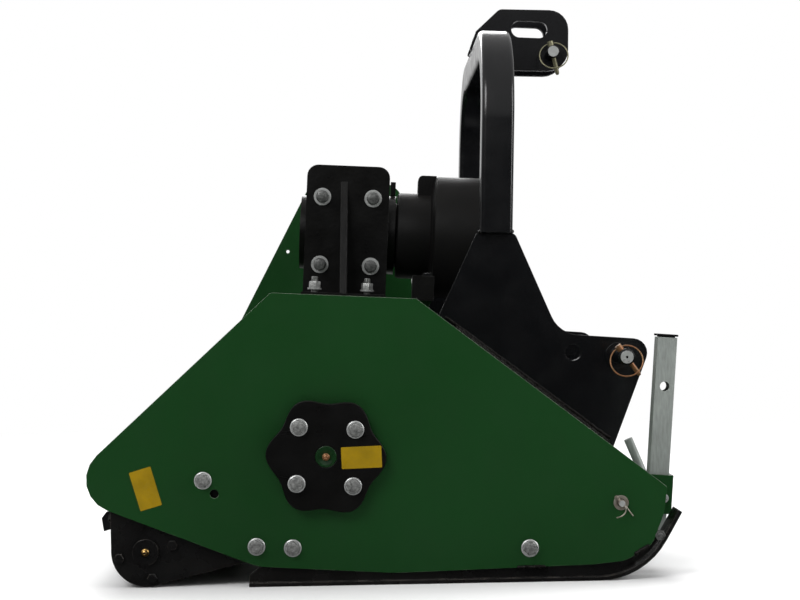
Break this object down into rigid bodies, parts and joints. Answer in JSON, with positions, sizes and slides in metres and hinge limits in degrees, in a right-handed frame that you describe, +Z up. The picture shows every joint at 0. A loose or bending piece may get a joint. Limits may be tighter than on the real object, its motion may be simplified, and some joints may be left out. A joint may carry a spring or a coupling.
{
  "type": "tractor mulcher",
  "caption": "Rear-mounted flail mulcher with sloped hood, three-point hitch arch, bevel gearbox, belt drive, hammer rotor, skids, rear roller and parking stand.",
  "frame": {"origin": "on the floor under the middle of the whole machine's bounding box", "axes": "+X forwards to the tractor, +Y to the machine's left (belt drive side), +Z up"},
  "size_m": [0.7526, 1.206, 0.8013],
  "materials": {
    "green_paint": "gloss",
    "black_paint": "satin",
    "zinc": "satin",
    "yellow_zinc": "satin",
    "steel": "satin",
    "cast_iron": "matte",
    "rubber": "matte",
    "black_plastic": "matte"
  },
  "bodies": {
    "frame": {"side_plate_right": "green_paint", "side_plate_left": "green_paint", "hood_shell": "green_paint", "hitch_base": "black_paint", "hitch_plate_right": "black_paint", "hitch_plate_left": "black_paint", "hitch_arch": "black_paint", "top_link_plates": "black_paint", "lower_link_pins": "black_paint", "top_link_pin": "zinc", "linch_pins": "yellow_zinc", "gearbox_housing": "black_paint", "gearbox_end_cap": "black_paint", "gearbox_bracket": "black_paint", "gearbox_bolts": "zinc", "gearbox_plugs": "black_plastic", "gearbox_bearings": "steel", "shaft_tube": "black_paint", "drive_belts": "rubber", "belt_cover": "green_paint", "belt_cover_bolts": "zinc", "pto_guard": "black_plastic", "rotor_bearing_right": "black_paint", "rotor_bearing_left": "cast_iron", "bearing_cap": "green_paint", "flange_bolts": "zinc", "skid_right": "black_paint", "skid_left": "black_paint", "flap_rod": "zinc", "flap_rod_clips": "zinc", "stand_sleeve": "green_paint"},
    "rotor": {"rotor_tube": "steel", "lower_pulley": "cast_iron", "hammer_pins": "zinc"},
    "hammers_1": {"hammer_row_1": "cast_iron"},
    "hammers_2": {"hammer_row_2": "cast_iron"},
    "hammers_3": {"hammer_row_3": "cast_iron"},
    "hammers_4": {"hammer_row_4": "cast_iron"},
    "cross": {"cross_shaft": "steel", "bevel_pinion": "steel", "upper_pulley": "cast_iron"},
    "input": {"input_shaft": "steel", "crown_gear": "steel"},
    "roller_arm": {"roller_bracket_right": "black_paint", "roller_bracket_left": "black_paint", "roller_bearings": "black_paint", "roller_bearing_bolts": "black_paint", "scraper_bar": "black_paint"},
    "roller": {"rear_roller": "black_paint"},
    "ring_right": {"linch_ring_right": "yellow_zinc"},
    "ring_left": {"linch_ring_left": "yellow_zinc"},
    "ring_top": {"linch_ring_top": "yellow_zinc"},
    "leg": {"stand_leg": "zinc", "stand_leg_caps": "black_plastic"},
    "clamp": {"stand_clamp": "zinc"},
    "flap_1": {"front_flap_1": "black_paint"},
    "flap_2": {"front_flap_2": "black_paint"},
    "flap_3": {"front_flap_3": "black_paint"},
    "flap_4": {"front_flap_4": "black_paint"},
    "flap_5": {"front_flap_5": "black_paint"}
  },
  "joints": [
    {"name": "rotor_spin", "type": "hinge", "parent": "frame", "child": "rotor", "pos_m": [-0.07675, -0.034, 0.162], "axis": [0, 1, 0], "continuous": true},
    {"name": "cross_shaft_spin", "type": "hinge", "parent": "frame", "child": "cross", "pos_m": [-0.05235, -0.034, 0.4616], "axis": [0, 1, 0], "continuous": true},
    {"name": "input_shaft_spin", "type": "hinge", "parent": "frame", "child": "input", "pos_m": [-0.05235, -0.034, 0.4616], "axis": [0.9982, 0, -0.0593], "continuous": true},
    {"name": "hammer_swing_1", "type": "hinge", "parent": "rotor", "child": "hammers_1", "pos_m": [-0.02867, -0.034, 0.21008], "axis": [0, 1, 0], "range_deg": [-250, 0]},
    {"name": "hammer_swing_2", "type": "hinge", "parent": "rotor", "child": "hammers_2", "pos_m": [-0.12483, -0.034, 0.21008], "axis": [0, 1, 0], "range_deg": [0, 250]},
    {"name": "hammer_swing_3", "type": "hinge", "parent": "rotor", "child": "hammers_3", "pos_m": [-0.12483, -0.034, 0.11392], "axis": [0, 1, 0], "range_deg": [-85, 175]},
    {"name": "hammer_swing_4", "type": "hinge", "parent": "rotor", "child": "hammers_4", "pos_m": [-0.02867, -0.034, 0.11392], "axis": [0, 1, 0], "range_deg": [-175, 85]},
    {"name": "roller_height", "type": "hinge", "parent": "frame", "child": "roller_arm", "pos_m": [-0.16575, -0.034, 0.0504], "axis": [0, 1, 0], "range_deg": [-8, 10]},
    {"name": "roller_spin", "type": "hinge", "parent": "roller_arm", "child": "roller", "pos_m": [-0.30515, -0.034, 0.045], "axis": [0, 1, 0], "continuous": true},
    {"name": "flap_swing_1", "type": "hinge", "parent": "frame", "child": "flap_1", "pos_m": [0.28925, -0.034, 0.0968], "axis": [0, 1, 0], "range_deg": [-30, 85]},
    {"name": "flap_swing_2", "type": "hinge", "parent": "frame", "child": "flap_2", "pos_m": [0.28925, -0.034, 0.0968], "axis": [0, 1, 0], "range_deg": [-30, 85]},
    {"name": "flap_swing_3", "type": "hinge", "parent": "frame", "child": "flap_3", "pos_m": [0.28925, -0.034, 0.0968], "axis": [0, 1, 0], "range_deg": [-30, 85]},
    {"name": "flap_swing_4", "type": "hinge", "parent": "frame", "child": "flap_4", "pos_m": [0.28925, -0.034, 0.0968], "axis": [0, 1, 0], "range_deg": [-30, 85]},
    {"name": "flap_swing_5", "type": "hinge", "parent": "frame", "child": "flap_5", "pos_m": [0.28925, -0.034, 0.0968], "axis": [0, 1, 0], "range_deg": [-30, 85]},
    {"name": "linch_ring_right_swing", "type": "hinge", "parent": "frame", "child": "ring_right", "pos_m": [0.31493, -0.412, 0.28503], "axis": [0.8988, 0, 0.4384], "range_deg": [-140, 0]},
    {"name": "linch_ring_left_swing", "type": "hinge", "parent": "frame", "child": "ring_left", "pos_m": [0.31493, 0.344, 0.28503], "axis": [0.8988, 0, 0.4384], "range_deg": [0, 140]},
    {"name": "linch_ring_top_swing", "type": "hinge", "parent": "frame", "child": "ring_top", "pos_m": [0.26474, -0.091, 0.7433], "axis": [0.9781, 0, 0.2079], "range_deg": [-140, 0]},
    {"name": "stand_slide", "type": "slide", "parent": "frame", "child": "leg", "axis": [0.0802, 0, 0.9968], "range_m": [-0.12, 0.02]},
    {"name": "stand_clamp_turn", "type": "hinge", "parent": "frame", "child": "clamp", "pos_m": [0.34596, -0.5015, 0.09485], "axis": [0, 1, 0], "range_deg": [0, 170]}
  ],
  "couplings": [
    {"joint": "cross_shaft_spin", "follows": "rotor_spin", "ratio": 0.8125},
    {"joint": "input_shaft_spin", "follows": "rotor_spin", "ratio": 0.27083}
  ]
}
